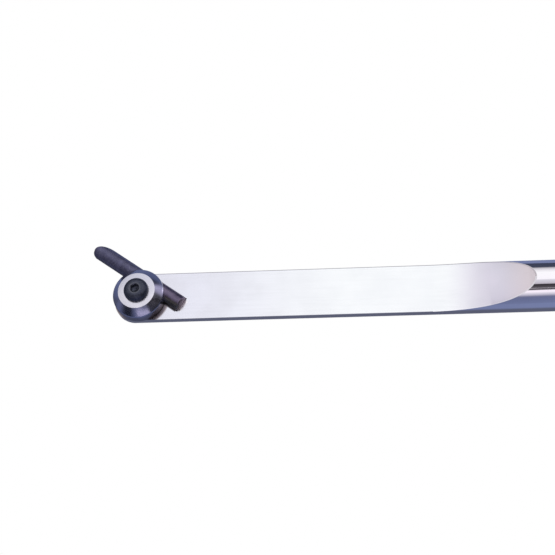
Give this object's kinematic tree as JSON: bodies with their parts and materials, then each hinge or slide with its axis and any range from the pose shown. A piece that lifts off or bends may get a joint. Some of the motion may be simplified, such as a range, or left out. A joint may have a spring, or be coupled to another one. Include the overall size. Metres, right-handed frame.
{
  "type": "hollowing tool",
  "caption": "Hollowing tool: a round steel bar with a milled seat, a round clamp cap that holds a round cutter at an angle in a groove across the seat, and a turned wooden handle.",
  "frame": {"origin": "centre of the seat milled on the bar, where the clamp screw's axis crosses it", "axes": "+X along the bar towards the handle, +Z square to the seat, up out of it, +Y to the side that the cutter's nose points to"},
  "size_m": [0.6963, 0.0407, 0.04],
  "materials": {
    "bar_steel": "polished round bar, satin milled seat",
    "cap_steel": "blued steel, with a bright ground ring on top",
    "screw_steel": "black oxide",
    "cutter_steel": "dark tool steel, as hardened",
    "ferrule_brass": "polished",
    "handle_wood": "turned ash, lacquered"
  },
  "bodies": {
    "tool": {"shaft": "bar_steel", "ferrule": "ferrule_brass", "handle": "handle_wood"},
    "cap": {"clamp_cap": "cap_steel"},
    "cutter_bar": {"cutter": "cutter_steel"},
    "screw": {"clamp_screw": "screw_steel"}
  },
  "joints": [
    {"name": "cutter_slide", "type": "slide", "parent": "tool", "child": "cutter_bar", "axis": [-0.8202, 0.5721, 0], "range_m": [0, 0.008]},
    {"name": "cap_lift", "type": "slide", "parent": "tool", "child": "cap", "axis": [0, 0, 1], "range_m": [0, 0.0024]},
    {"name": "screw_turn", "type": "hinge", "parent": "cap", "child": "screw", "pos_m": [0, 0, 0], "axis": [0, 0, 1], "range_deg": [0, 1080]}
  ]
}
